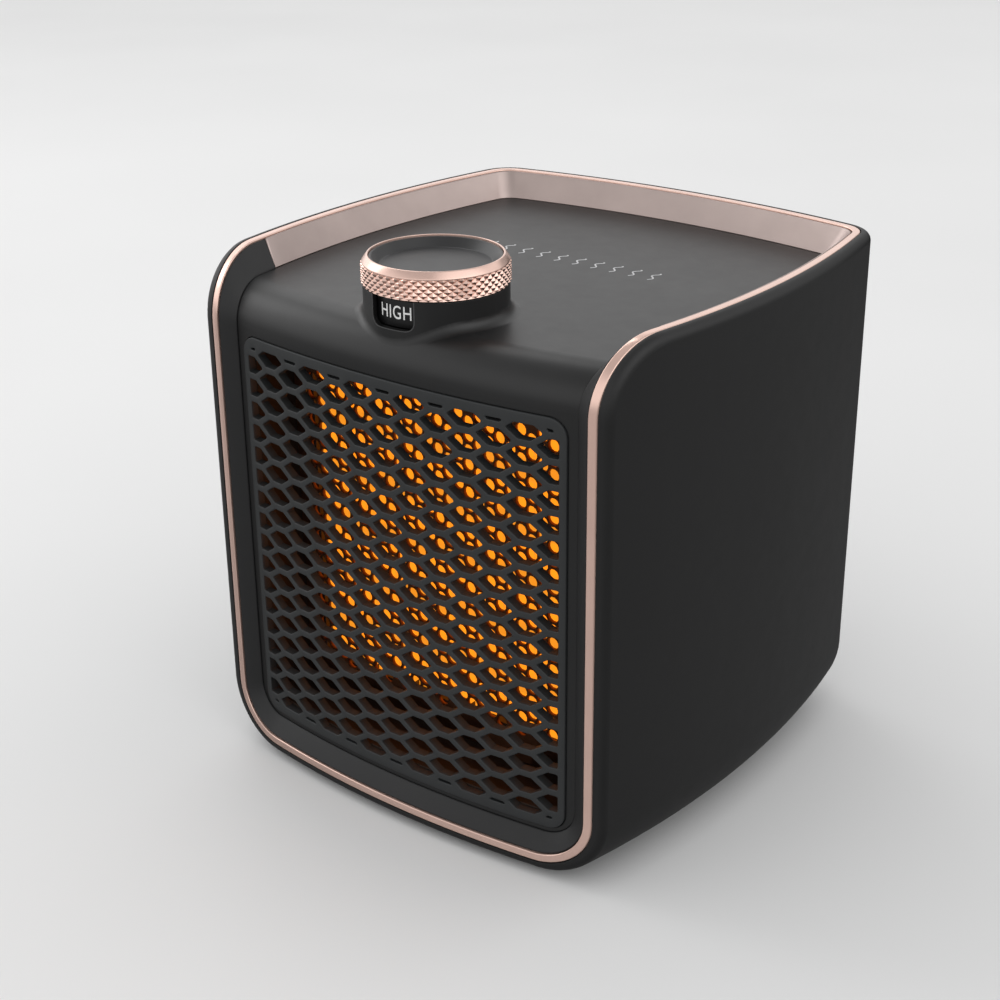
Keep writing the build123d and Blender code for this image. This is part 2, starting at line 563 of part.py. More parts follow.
def saddle():
    """Two uprights that carry the fan shroud's ring."""
    uprights = block(-30, -20, 4, 10, TRAY_TOP - 1, 60) + block(20, 30, 4, 10, TRAY_TOP - 1, 60)
    return uprights - rod_y(SHROUD_R + SHROUD_WALL + 0.05, 0, 20)


def housing_screws():
    """Four screws that go sideways through the inner housing into the tray's arms."""
    screws = []
    for y in HOUSING_SCREW_Y:
        wall_x = SIDE_CX + math.sqrt((SIDE_R - HOUSE_IN) ** 2 - (y - SIDE_ARC_Y) ** 2)
        one = Pos(wall_x + 0.05, y, HOUSING_SCREW_Z) * Rot(0, 90, 0) * screw(6.0, 1.25, 2.6, 1.8)
        screws += [one, one.mirror(Plane.YZ)]
    return group(screws)


def chassis_screws():
    one = Rot(180, 0, 0) * screw(TRAY_TOP - 3.9, 1.25, 2.8, 1.7)
    return group([Pos(x, y, 2.9) * one for x, y in FEET])


def feet():
    pads = []
    for x, y in FEET:
        pad = rod_z(FOOT_R, -FOOT_PROUD, 0.95, x, y)
        pads.append(chamfer(pad.edges().group_by(Axis.Z)[0], 0.6))
    return group(pads)


def rear_inlet_grille():
    skin = rod_z(BACK_R - 0.1, -20, FAR, y=BACK_CY) - rod_z(BACK_R - 1.75, -30, FAR, y=BACK_CY)
    panel = rounded_block(REAR_W - 0.4, REAR_H - 0.4, 9.8, 50, 90, REAR_Z) & skin
    slots = []
    for row in range(-4, 5):
        for x, width in ((-26.0, 22.0), (0.0, 24.0), (26.0, 22.0)):
            slots.append(rounded_block(width, 3.6, 1.7, 50, 90, REAR_Z + row * 7.4, x))
    panel = panel - group(slots)
    for x, z in REAR_SCREWS:
        panel = panel - rod_y(1.4, 50, 90, x, z)
    return panel


def rear_screws():
    screws = []
    for x, z in REAR_SCREWS:
        y = BACK_CY + math.sqrt((BACK_R - 0.1) ** 2 - (abs(x) + 2.2) ** 2) + 0.05
        y = y + 0.62
        screws.append(Pos(x, y, z) * Rot(-90, 0, 0) * screw(7.5, 1.15, 2.2, 1.2))
    return group(screws)


def cord_gland():
    y = BACK_CY + math.sqrt(BACK_R ** 2 - GLAND_X ** 2)
    flange = rod_y(8.0, y + 1.1, y + 2.6, GLAND_X, GLAND_Z)
    flange = chamfer(flange.edges().group_by(Axis.Y)[-1], 0.5)
    neck = rod_y(GLAND_R, y - 12, y + 1.2, GLAND_X, GLAND_Z)
    lock = rod_y(7.5, y - 9, y - 6, GLAND_X, GLAND_Z)
    return flange + neck + lock - rod_y(3.4, y - 20, y + 10, GLAND_X, GLAND_Z)


def terminal_block():
    body = block(24, 55, 28, 39, TRAY_TOP + 0.05, 26)
    wells = [Pos(x, 34, 26) * Cylinder(2.6, 8) for x in TERMINAL_X]
    return body - group(wells)


def terminal_screws():
    return group([Pos(x, 34, 23.5) * screw(1.4, 1.4, 2.3, 1.4) for x in TERMINAL_X])


def tip_switch_case():
    """Guide and contact box over the plunger."""
    body = rod_z(9.0, WALL + 0.05, 27, PLUNGER_X, PLUNGER_Y)
    body = body - rod_z(6.0, WALL - 1, 20, PLUNGER_X, PLUNGER_Y)
    body = body - rod_z(2.2, 15, 25.5, PLUNGER_X, PLUNGER_Y)
    return body


def tip_plunger():
    """Sprung pin under the base that cuts the power when the heater tips over."""
    pin = rod_z(PLUNGER_R, -FOOT_PROUD + 0.2, 8, PLUNGER_X, PLUNGER_Y)
    pin = fillet(pin.edges().group_by(Axis.Z)[0], 0.8)
    flange = rod_z(5.6, 7.0, 8.5, PLUNGER_X, PLUNGER_Y)
    return pin + flange + rod_z(2.0, 8, 25, PLUNGER_X, PLUNGER_Y)


def tip_spring():
    """Coil spring between the plunger's flange and the roof of its case, drawn compressed."""
    turns, low, high = 5, 8.9, 19.6
    path = Helix(pitch=(high - low) / turns, height=high - low, radius=4.2)
    start = Plane(origin=path @ 0, z_dir=path % 0)
    coil = sweep(start * Circle(0.4), path)
    return Pos(PLUNGER_X, PLUNGER_Y, low) * coil


# ---------------------------------------------------------------- all sub-parts
PIECES = [outer_shell, trim_ring, rim_band, front_liner, inner_housing, front_grille, inner_guard,
          outlet_duct, fan_shroud, element_frame, ptc_bars, heater_fins, element_terminals, thermostat,
          thermal_fuse, fan_blades, fan_clip, motor_shaft, motor_rotor, motor_bracket, motor_case,
          motor_end_cap, motor_bushes, motor_magnets, motor_screws, knob_ring, knob_cap, label_drum,
          rotary_switch, switch_bracket, switch_screws, chassis_tray, chassis_screws, housing_screws,
          feet, rear_inlet_grille, rear_screws, cord_gland, terminal_block, terminal_screws,
          tip_switch_case, tip_plunger, tip_spring]
for piece in PIECES:
    add(piece.__name__, piece())
add("switch_spindle", d_shaft(160.45))

for name, shape in nodes.items():
    export_step(shape, f"parts/{name}.step")
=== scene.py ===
"""The looks of a desktop ceramic fan heater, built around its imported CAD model.

Works in metres, +Z up, front at -Y. The shapes are drawn in millimetres above the shell's underside.
"""

import math
from collections import namedtuple

import bmesh
import bpy
from mathutils import Matrix, Vector
from mathutils.geometry import delaunay_2d_cdt


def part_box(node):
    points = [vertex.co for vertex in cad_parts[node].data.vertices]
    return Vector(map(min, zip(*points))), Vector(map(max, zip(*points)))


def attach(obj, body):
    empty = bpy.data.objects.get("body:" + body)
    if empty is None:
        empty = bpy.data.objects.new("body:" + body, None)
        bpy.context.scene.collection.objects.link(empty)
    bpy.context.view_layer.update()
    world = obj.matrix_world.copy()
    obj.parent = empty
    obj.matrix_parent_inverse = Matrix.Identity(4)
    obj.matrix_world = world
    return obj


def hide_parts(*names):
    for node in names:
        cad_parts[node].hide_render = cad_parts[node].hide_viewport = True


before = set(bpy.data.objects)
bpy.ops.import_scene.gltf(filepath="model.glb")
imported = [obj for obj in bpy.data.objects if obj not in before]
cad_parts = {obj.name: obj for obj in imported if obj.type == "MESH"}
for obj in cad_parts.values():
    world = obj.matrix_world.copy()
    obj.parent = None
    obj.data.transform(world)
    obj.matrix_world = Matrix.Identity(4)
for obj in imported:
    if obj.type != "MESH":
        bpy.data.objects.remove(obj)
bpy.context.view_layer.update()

MM = 0.001
TAU = 2 * math.pi
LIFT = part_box("outer_shell")[0].z / MM        # the shell's underside above the surface it stands on

Box = namedtuple("Box", "x0 x1 y0 y1 z0 z1")


def box_mm(node):
    """A CAD node's box in millimetres, with z above the shell's underside."""
    low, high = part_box(node)
    return Box(low.x / MM, high.x / MM, low.y / MM, high.y / MM, low.z / MM - LIFT, high.z / MM - LIFT)


# ---------------------------------------------------------------- dimensions of the case, in millimetres
SHELL = box_mm("outer_shell")
CASE_W, CASE_D = SHELL.x1 - SHELL.x0, SHELL.y1 - SHELL.y0
RIM_Z = SHELL.z1
FRONT_R, SIDE_R, BACK_R = 348.9, 314.2, 331.1     # plan radii of the bulged faces
SIDE_ARC_Y = -2.0
BOTTOM_R, FRONT_TOP_R = 20.3, 19.7
BACK_CORNER_R, INNER_CORNER_R = 13.0, 6.0
FRONT_CY = -CASE_D / 2 + FRONT_R
BACK_CY = CASE_D / 2 - BACK_R
SIDE_CX = CASE_W / 2 - SIDE_R

# ---------------------------------------------------------------- mesh helpers
WELD = 1e-7                                   # metres between points that are made one
SAME_POINT = 1e-6                             # millimetres between points that a triangulation takes as one
SHORTEST_EDGE, LONGEST_EDGE = 0.02, 3.0       # of an outline, in millimetres


def add_object(name, data):
    item = bpy.data.objects.new(name, data)
    bpy.context.scene.collection.objects.link(item)
    return item


def mesh_piece(name, points, faces, body, slot, replaced=(), sharp=35.0):
    """A closed mesh that rides on a body. Edges that turn by more than sharp degrees are shaded sharp."""
    mesh = bpy.data.meshes.new(name)
    mesh.from_pydata([(x * MM, y * MM, (z + LIFT) * MM) for x, y, z in points], [], faces)
    work = bmesh.new()
    work.from_mesh(mesh)
    bmesh.ops.remove_doubles(work, verts=work.verts, dist=WELD)
    bmesh.ops.recalc_face_normals(work, faces=work.faces)
    work.to_mesh(mesh)
    work.free()
    mesh.shade_smooth()
    mesh.set_sharp_from_angle(angle=math.radians(sharp))
    mesh.materials.append(MATERIALS[slot])
    piece = add_object(name, mesh)
    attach(piece, body)
    if replaced:
        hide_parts(*replaced)


def grid_faces(rows, columns, close_rows=False, close_columns=False, start=0):
    """Quads over a grid of points stored row by row."""
    faces = []
    for r in range(rows if close_rows else rows - 1):
        for c in range(columns if close_columns else columns - 1):
            r2, c2 = (r + 1) % rows, (c + 1) % columns
            faces.append((start + r * columns + c, start + r * columns + c2,
                          start + r2 * columns + c2, start + r2 * columns + c))
    return faces


def sweep(name, section, path_of, closed_path, **made):
    """Lofts a closed section along a path; path_of gives the path of each point of the section."""
    paths = [path_of(*point) for point in section]
    rows, columns = len(paths), len(paths[0])
    points = [p for path in paths for p in path]
    faces = grid_faces(rows, columns, close_rows=True, close_columns=closed_path)
    if not closed_path:
        faces.append(tuple(r * columns for r in range(rows)))
        faces.append(tuple(r * columns + columns - 1 for r in reversed(range(rows))))
    mesh_piece(name, points, faces, **made)


def rounded(points, radius, steps=4):
    """An open polyline of (a, b) pairs with its middle points rounded off."""
    out = [points[0]]
    for before, at, after in zip(points, points[1:], points[2:]):
        p, q, r = Vector(before), Vector(at), Vector(after)
        reach = min(radius, (p - q).length * 0.45, (r - q).length * 0.45)
        start, end = q + (p - q).normalized() * reach, q + (r - q).normalized() * reach
        for k in range(steps + 1):
            t = k / steps
            out.append(tuple(start * (1 - t) ** 2 + q * 2 * t * (1 - t) + end * t * t))
    return out + [points[-1]]


def polar(angle, reach):
    return Vector((math.cos(angle), math.sin(angle))) * reach


def inside(points, loop, margin=0.0):
    """What is left of a convex polygon at least margin inside a convex loop. Both run anticlockwise."""
    for a, b in zip(loop, loop[1:] + loop[:1]):
        if (b - a).length < 1e-4:
            continue
        edge = (b - a).normalized()
        normal = Vector((edge.y, -edge.x))
        limit = normal.dot(a) - margin
        kept = []
        for p, q in zip(points, points[1:] + points[:1]):
            past_p, past_q = p.dot(normal) - limit, q.dot(normal) - limit
            if past_p <= 1e-9:
                kept.append(p)
            if (past_p < 0) != (past_q < 0) and abs(past_p - past_q) > 1e-12:
                kept.append(p.lerp(q, past_p / (past_p - past_q)))
        points = kept
    return points


def without_short_edges(points):
    return [p for k, p in enumerate(points) if (p - points[k - 1]).length > SHORTEST_EDGE]


class Outline:
    """A convex outline with rounded corners. Grown or shrunk, it keeps the same number of points."""

    def __init__(self, corners, radius, steps):
        self.inner = without_short_edges(inside(corners, corners, radius))
        self.radius, self.steps = radius, steps

    def ring(self, grow=0.0):
        reach = self.radius + grow
        following = self.inner[1:] + self.inner[:1]
        angles = []
        for here, there in zip(self.inner, following):
            edge = there - here
            angles.append(math.atan2(-edge.x, edge.y))
        out = []
        for k, (here, there) in enumerate(zip(self.inner, following)):
            turn = (angles[k] - angles[k - 1]) % TAU
            for step in range(self.steps + 1):
                out.append(here + polar(angles[k - 1] + turn * step / self.steps, reach))
            side = polar(angles[k], reach)
            pieces = int((there - here).length / LONGEST_EDGE)
            out += [here.lerp(there, (j + 1) / (pieces + 1)) + side for j in range(pieces)]
        return out


class Round:
    """A round outline, drawn like an Outline."""

    def __init__(self, x, z, radius, sides=12):
        self.middle, self.radius, self.sides = Vector((x, z)), radius, sides

    def ring(self, grow=0.0):
        reach = self.radius + grow
        return [self.middle + polar(TAU * (k + 0.5) / self.sides, reach) for k in range(self.sides)]


def box_corners(width, height):
    x, z = width / 2, height / 2
    return [Vector(corner) for corner in ((-x, -z), (x, -z), (x, z), (-x, z))]


def fill(loops):
    """Triangles between the first loop and the others, which are holes in it."""
    flat = [p for loop in loops for p in loop]
    owner = [n for n, loop in enumerate(loops) for _ in loop]
    edges, start = [], 0
    for loop in loops:
        edges += [(start + k, start + (k + 1) % len(loop)) for k in range(len(loop))]
        start += len(loop)
    _, _, faces, origin, _, _ = delaunay_2d_cdt(flat, edges, [], 0, SAME_POINT)
    named = [[origin[i][0] for i in f] for f in faces]
    return [f for f in named if len({owner[i] for i in f}) > 1 or owner[f[0]] == 0]


def perforated(name, outer, holes, profile, place, **made):
    """A plate with holes. The profile, from front to back, is (how far its edges draw back, depth)."""

    def loops(back):
        return [outer.ring(-back)] + [hole.ring(back) for hole in holes]

    points = [place(p.x, p.y, depth) for back, depth in profile for loop in loops(back) for p in loop]
    sizes = [len(loop) for loop in loops(0.0)]
    total = sum(sizes)
    last = (len(profile) - 1) * total
    flat = fill(loops(profile[0][0]))
    faces = [tuple(f) for f in flat] + [tuple(last + i for i in reversed(f)) for f in flat]
    for level in range(len(profile) - 1):
        start = level * total
        for size in sizes:
            for k in range(size):
                k2 = (k + 1) % size
                faces.append((start + k, start + total + k, start + total + k2, start + k2))
            start += size
    mesh_piece(name, points, faces, **made)


# ---------------------------------------------------------------- curves of the case
FRONT_STEPS = (14, 14, 22, 16)                # along the foot, bottom corner, side and top rounding
RIM_STEPS = (26, 10, 14)                      # along the side, back corner and back


def meet(centre_a, radius_a, centre_b, radius_b, want):
    """Where two circles cross, on the side that want points to."""
    a, b = Vector(centre_a), Vector(centre_b)
    d = (b - a).length
    along = (radius_a ** 2 - radius_b ** 2 + d * d) / (2 * d)
    across = math.sqrt(max(radius_a ** 2 - along ** 2, 0))
    u = (b - a) / d
    v = Vector((-u.y, u.x))
    if v.dot(Vector(want)) < 0:
        v = -v
    return a + u * along + v * across


def front_corner(front, side):
    """Where arcs of these radii about the centres of the front's and the right side's bulges meet."""
    return meet((0, FRONT_CY), front, (SIDE_CX, SIDE_ARC_Y), side, (1, -1))


def side_x(y, inset):
    return SIDE_CX + math.sqrt((SIDE_R - inset) ** 2 - (y - SIDE_ARC_Y) ** 2)


def mirrored(path):
    """The path on the other side, run backwards."""
    return [(-x, y, z) for x, y, z in reversed(path)]


def front_edge(inset, depth, drop, ball):
    """The right half of a line round the front, from the middle of its foot up and over the top rounding.
    It lies depth behind the bulged front and drop under the rim, joined by a rounding of radius ball."""
    foot_steps, corner_steps, side_steps, top_steps = FRONT_STEPS
    front = FRONT_R - depth
    high = RIM_Z - drop - ball
    path = []
    foot = front_corner(front, SIDE_R - BOTTOM_R)
    for k in range(foot_steps):
        x = foot.x * k / foot_steps
        path.append((x, FRONT_CY - math.sqrt(front ** 2 - x * x), inset))
    for k in range(corner_steps):
        a = math.pi / 2 * (1 - k / corner_steps)
        p = front_corner(front, SIDE_R - BOTTOM_R + (BOTTOM_R - inset) * math.cos(a))
        path.append((p.x, p.y, BOTTOM_R - (BOTTOM_R - inset) * math.sin(a)))
    p = front_corner(front, SIDE_R - inset)
    for k in range(side_steps):
        path.append((p.x, p.y, BOTTOM_R + (high - BOTTOM_R) * k / side_steps))
    for k in range(top_steps):
        a = math.pi / 2 * k / top_steps
        p = front_corner(front - ball + ball * math.cos(a), SIDE_R - inset)
        path.append((p.x, p.y, high + ball * math.sin(a)))
    return path


def rim_path(inset, z, start_y):
    """The right half of the rim, from start_y back along the side, round the corner, to the middle."""
    side_steps, corner_steps, back_steps = RIM_STEPS
    corner = max(BACK_CORNER_R - inset, INNER_CORNER_R)
    side, back = SIDE_R - inset, BACK_R - inset
    middle = meet((SIDE_CX, SIDE_ARC_Y), side - corner, (0, BACK_CY), back - corner, (1, 1))
    from_side = math.atan2(middle.y - SIDE_ARC_Y, middle.x - SIDE_CX)
    from_back = math.atan2(middle.y - BACK_CY, middle.x)
    side_end, back_end = middle + polar(from_side, corner), middle + polar(from_back, corner)
    path = []
    for k in range(side_steps):
        y = start_y + (side_end.y - start_y) * k / side_steps
        path.append((side_x(y, inset), y, z))
    for k in range(corner_steps):
        a = from_side + (from_back - from_side) * k / corner_steps
        path.append((middle.x + corner * math.cos(a), middle.y + corner * math.sin(a), z))
    for k in range(back_steps + 1):
        x = back_end.x * (1 - k / back_steps)
        path.append((x, BACK_CY + math.sqrt(back ** 2 - x * x), z))
    return path


# ---------------------------------------------------------------- materials
NOISE_SPAN = (0.3, 0.7)                       # where nearly all of a noise's values lie


class Graph:
    """A material's node tree. Values are named after the shader's sockets, with _ for each space."""

    def __init__(self, name, **values):
        self.material = bpy.data.materials.new(name)
        self.material.use_nodes = True
        self.tree = self.material.node_tree
        self.tree.nodes.clear()
        self.shader = self.add("ShaderNodeBsdfPrincipled")
        self.link(self.shader, "BSDF", self.add("ShaderNodeOutputMaterial"), "Surface")
        self.place = self.add("ShaderNodeTexCoord")
        for socket, value in values.items():
            self.shader.inputs[socket.replace("_", " ")].default_value = value

    def add(self, kind, **values):
        node = self.tree.nodes.new(kind)
        for socket, value in values.items():
            node.inputs[socket.replace("_", " ")].default_value = value
        return node

    def link(self, node, output, other, socket):
        self.tree.links.new(node.outputs[output], other.inputs[socket])

    def noise(self, scale, detail=2.0, roughness=0.5, stretch=None):
        node = self.add("ShaderNodeTexNoise", Scale=scale, Detail=detail, Roughness=roughness)
        if stretch:
            mapping = self.add("ShaderNodeMapping", Scale=stretch)
            self.link(self.place, "Object", mapping, "Vector")
            self.link(mapping, "Vector", node, "Vector")
        else:
            self.link(self.place, "Object", node, "Vector")
        return node

    def colour(self, noise, low, high, socket="Base Color", span=NOISE_SPAN):
        """A socket of the shader runs from low to high as the noise rises through the span."""
        node = self.add("ShaderNodeValToRGB")
        for k, colour in enumerate((low, high)):
            element = node.color_ramp.elements[k]
            element.position = span[k]
            element.color = (*colour, 1.0)
        self.link(noise, "Fac", node, "Fac")
        self.link(node, "Color", self.shader, socket)

    def roughness(self, noise, low, high):
        start, end = NOISE_SPAN
        node = self.add("ShaderNodeMapRange", From_Min=start, From_Max=end, To_Min=low, To_Max=high)
        self.link(noise, "Fac", node, "Value")
        self.link(node, "Result", self.shader, "Roughness")

    def relief(self, noise, depth, edge=0.0):
        """Relief of a depth, over edges that look rounded off by a radius."""
        node = self.add("ShaderNodeBump", Strength=1.0, Distance=depth)
        self.link(noise, "Fac", node, "Height")
        if edge:
            bevel = self.add("ShaderNodeBevel", Radius=edge)
            bevel.samples = 4
            self.link(bevel, "Normal", node, "Normal")
        self.link(node, "Normal", self.shader, "Normal")


def shade(colour, factor):
    return tuple(min(c * factor, 1.0) for c in colour)


def plastic(name, colour, roughness, grain=0.00035, depth=0.000004, specular=0.5, mottle=0.04, edge=0.0003):
    """Moulded plastic: a spark-eroded grain, faint mottling, and roughness that varies a little."""
    g = Graph(name, Specular_IOR_Level=specular)
    g.colour(g.noise(45.0, 3.0), shade(colour, 1 - mottle), shade(colour, 1 + mottle))
    g.roughness(g.noise(160.0, 4.0, 0.6), roughness - 0.015, roughness + 0.02)
    g.relief(g.noise(1.0 / grain, 2.0, 0.6), depth, edge)
    return g.material


def plated(name, colour, roughness, grain=0.00025, depth=0.0000012, metallic=1.0):
    """Plated metal: a very fine grain left by polishing, and a slightly uneven finish."""
    g = Graph(name, Metallic=metallic)
    g.colour(g.noise(60.0, 3.0), shade(colour, 0.95), shade(colour, 1.04))
    g.roughness(g.noise(220.0, 4.0, 0.6), roughness, roughness + 0.06)
    g.relief(g.noise(1.0 / grain, 2.0, 0.5), depth)
    return g.material


def glowing(name, colour, strength, base):
    """Hot ceramic and foil: an even orange glow, a little cooler in patches."""
    g = Graph(name, Roughness=0.6, Emission_Strength=strength, Base_Color=(*base, 1.0))
    g.colour(g.noise(55.0, 3.0, 0.55), shade(colour, 0.90), colour, "Emission Color", (0.25, 0.75))
    g.relief(g.noise(900.0, 2.0, 0.5, stretch=(1.0, 0.15, 1.0)), 0.00001)
    return g.material


def ceramic(name, colour):
    """Unglazed ceramic with fine speckle."""
    g = Graph(name, Roughness=0.8)
    g.colour(g.noise(1500.0, 3.0), shade(colour, 0.8), colour, span=(0.35, 0.65))
    return g.material


GLOW = (1.0, 0.323, 0.013)
ROSE = (0.88, 0.61, 0.52)
MATERIALS = {
    "shell": plastic("charcoal_moulding", (0.0085, 0.0085, 0.0087), 0.50, specular=0.45),
    "housing": plastic("satin_grey_moulding", (0.0095, 0.0095, 0.0097), 0.38, depth=0.000003, specular=0.50),
    "grille": plastic("grille_moulding", (0.025, 0.027, 0.028), 0.50, specular=0.45, edge=0.0),
    "liner": plastic("liner_moulding", (0.015, 0.015, 0.0155), 0.50, specular=0.42),
    "rose_gold": plated("polished_rose_gold", ROSE, 0.16, metallic=0.70),
    "knurled_gold": plated("knurled_rose_gold", ROSE, 0.20),
    "rose_satin": plated("satin_rose_gold", (0.46, 0.375, 0.35), 0.40, grain=0.0003, depth=0.000003),
    # the guard's orange-brown colour is painted light: the element's orange glow falling on plain steel
    "guard": plated("steel_browned_by_painted_glow", (0.20, 0.085, 0.045), 0.45, depth=0.000004),
    # the duct's brown is painted light: the element's orange glow falling on dark moulding
    "duct": plastic("moulding_browned_by_painted_glow", (0.045, 0.028, 0.020), 0.60, specular=0.3, edge=0.0),
    "ceramic": glowing("hot_ceramic", GLOW, 0.95, (0.35, 0.12, 0.03)),
    "fins": glowing("hot_foil", GLOW, 1.0, (0.35, 0.15, 0.05)),
    "metal": plated("plain_steel", (0.55, 0.55, 0.56), 0.32),
    "brass": plated("plain_brass", (0.75, 0.56, 0.26), 0.28),
    "drum": plastic("black_drum", (0.0045, 0.0045, 0.0048), 0.38, specular=0.45, edge=0.0),
    "lettering": plastic("white_print", (0.80, 0.80, 0.79), 0.55, mottle=0.03, edge=0.0),
    "cap": plastic("satin_cap", (0.026, 0.026, 0.027), 0.40, specular=0.50, edge=0.0),
    "black_plastic": plastic("black_moulding", (0.008, 0.008, 0.0085), 0.45),
    "white_plastic": plastic("natural_moulding", (0.70, 0.68, 0.63), 0.50),
    "magnet": ceramic("ferrite", (0.10, 0.10, 0.105)),
    "rubber": plastic("soft_rubber", (0.012, 0.012, 0.012), 0.80, grain=0.0006, depth=0.00001, specular=0.3),
    # pale grey of the strip round the collar's window: a painted highlight on the collar wall's edge
    "window": plastic("painted_highlight_grey", (0.055, 0.055, 0.056), 0.45, edge=0.0),
    "inlay": plated("silver_inlay", (0.62, 0.62, 0.63), 0.35),
}
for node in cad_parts.values():
    for holder in node.material_slots:
        holder.material = MATERIALS[holder.material.name]

# ---------------------------------------------------------------- trim round the front edge and the rim
TRIM_OUT, TRIM_INNER, TRIM_SINK, TRIM_ROUND = 3.26, 5.72, 0.95, 0.55


def trim_path(inset, depth):
    front = front_edge(inset, depth, depth, FRONT_TOP_R - depth)
    back_from = front_corner(FRONT_R - FRONT_TOP_R, SIDE_R - inset).y
    half = front + rim_path(inset, RIM_Z - depth, back_from)
    return half + mirrored(half[1:-1])


trim_corners = [(TRIM_OUT, TRIM_SINK), (TRIM_OUT, 0.0), (TRIM_INNER, 0.0), (TRIM_INNER, TRIM_SINK)]
sweep("trim_ring_polished", rounded(trim_corners, TRIM_ROUND, steps=5), trim_path, True,
      body="case", slot="rose_gold", replaced=["trim_ring"], sharp=50)

# ---------------------------------------------------------------- band that lines the recess behind the rim
BAND = box_mm("rim_band")
BAND_OUT, BAND_TOP_IN, BAND_FACE_TOP = 6.1, 6.62, 6.95       # insets of its section
BAND_FACE_LOW, BAND_IN, BAND_HIDDEN = 10.95, 10.75, 6.5      # what lies outside BAND_HIDDEN is under the trim
BAND_ROUND = 0.3
END_BOW, END_SWEEP, SWEEP_PART = 2.6, 1.5, 0.3
END_ROUND = ((0.0, 0.45), (0.12, 0.2), (0.3, 0.06), (0.6, 0.0))      # way from the end, and how far in it is


def band_end(z):
    """How far forward the band reaches at a height. Its end bows forwards and sweeps back at its foot."""
    t = (z - BAND.z0) / (BAND.z1 - BAND.z0)
    return BAND.y0 - END_BOW * (1 - t) + END_SWEEP * max(0.0, 1 - t / SWEEP_PART) ** 2


def band_path(inset, z, sink):
    """From one end of the band to the other. Where sink is 1, the face is rounded off at both ends."""
    (_, start, _), *rest = rim_path(inset, z, band_end(z))
    near = [(side_x(start + way, inset - drop * sink), start + way, z) for way, drop in END_ROUND]
    half = near + rest
    return half + mirrored(half[:-1])


band_corners = [(BAND_OUT, BAND.z0), (BAND_OUT, BAND.z1), (BAND_TOP_IN, BAND.z1),
                (BAND_FACE_TOP, BAND.z1 - 0.55), (BAND_FACE_LOW, BAND.z0 + 0.35), (BAND_IN, BAND.z0)]
band_outline = rounded(band_corners, BAND_ROUND, steps=3)
band_section = [(inset, z, 0.0 if inset < BAND_HIDDEN else 1.0) for inset, z in band_outline]
sweep("rim_band_satin", band_section, band_path, False,
      body="case", slot="rose_satin", replaced=["rim_band"], sharp=40)

# ---------------------------------------------------------------- liner between the trim and the housing
LINER_OUT, LINER_IN = 6.05, 11.27             # insets of the liner's two long edges
LINER_TOP = (0.45, 0.45, FRONT_TOP_R - 0.45)  # depth, drop and rounding of its outer edge
LINER_FOOT = (3.95, 8.15, 11.85)              # the same for its inner edge, just proud of the inner housing
LINER_T_OUT, LINER_T_IN, LINER_ROUND = 1.2, 1.4, 0.32
LINER_GAP = 0.15                              # how far short of the band its ends stop
LINER_END_STEPS = 6


def liner_path(inset, sink):
    """Along the slope, from the band's end on the left, down round the front, to its end on the right."""
    f = (inset - LINER_OUT) / (LINER_IN - LINER_OUT)
    depth, drop, ball = [a + (b - a) * f for a, b in zip(LINER_TOP, LINER_FOOT)]
    depth, drop, ball = depth + sink, drop + sink, ball - sink
    half = front_edge(inset, depth, drop, ball)
    z = RIM_Z - drop
    start = front_corner(FRONT_R - depth - ball, SIDE_R - inset).y
    end = band_end(max(z, BAND.z0)) - LINER_GAP
    for k in range(LINER_END_STEPS + 1):
        y = start + (end - start) * k / LINER_END_STEPS
        half.append((side_x(y, inset), y, z))
    return mirrored(half[1:]) + half


liner_corners = [(LINER_OUT, LINER_T_OUT), (LINER_OUT, 0.0), (LINER_IN, 0.0), (LINER_IN, LINER_T_IN)]
sweep("front_liner_sloped", rounded(liner_corners, LINER_ROUND), liner_path, False,
      body="case", slot="liner", replaced=["front_liner"], sharp=40)

# ---------------------------------------------------------------- front grille
GRILLE = box_mm("front_grille")
GRILLE_Z = (GRILLE.z0 + GRILLE.z1) / 2
GRILLE_R, GRILLE_CORNER_R, GRILLE_T = FRONT_R - (GRILLE.y0 - SHELL.y0), 5.4, 2.8
GRILLE_PROFILE = [(0.30, 0.0), (0.12, 0.04), (0.03, 0.13), (0.0, 0.30), (0.0, GRILLE_T)]
OPEN_W, OPEN_H, OPEN_R = 113.2, 118.9, 3.0
CELL_W, CELL_H, CELL_FLAT, CELL_TIP, CELL_ROUND = 10.7, 5.15, 3.8, 0.5, 0.5
CELL_STEP_X, CELL_STEP_Z = 9.25, 7.2
CELL_COLUMNS, CELL_ROWS = 6, 9                # from the middle out; the opening cuts off the outermost


def cell_outlines():
    """Staggered columns of flattened hexagons with blunt tips, cut off by the rounded opening."""
    w, h, f, t = CELL_W / 2, CELL_H / 2, CELL_FLAT / 2, CELL_TIP / 2
    hexagon = [(w, -t), (w, t), (f, h), (-f, h), (-w, t), (-w, -t), (-f, -h), (f, -h)]
    opening = Outline(box_corners(OPEN_W, OPEN_H), OPEN_R, 5).ring()
    outlines = []
    for column in range(-CELL_COLUMNS, CELL_COLUMNS + 1):
        shift = 0.0 if column % 2 else 0.5
        for row in range(-CELL_ROWS, CELL_ROWS):
            across, up = column * CELL_STEP_X, (row + shift) * CELL_STEP_Z
            cell = [Vector((x + across, z + up)) for x, z in hexagon]
            corners = without_short_edges(inside(cell, opening))
            if len(corners) < 3:
                continue
            tall = max(c.y for c in corners) - min(c.y for c in corners)
            wide = max(c.x for c in corners) - min(c.x for c in corners)
            outline = Outline(corners, min(CELL_ROUND, 0.36 * tall, 0.3 * wide), 4)
            if len(outline.inner) > 2:
                outlines.append(outline)
    return outlines


def on_grille(x, z, depth):
    return (x, FRONT_CY - math.sqrt((GRILLE_R - depth) ** 2 - x * x), GRILLE_Z + z)


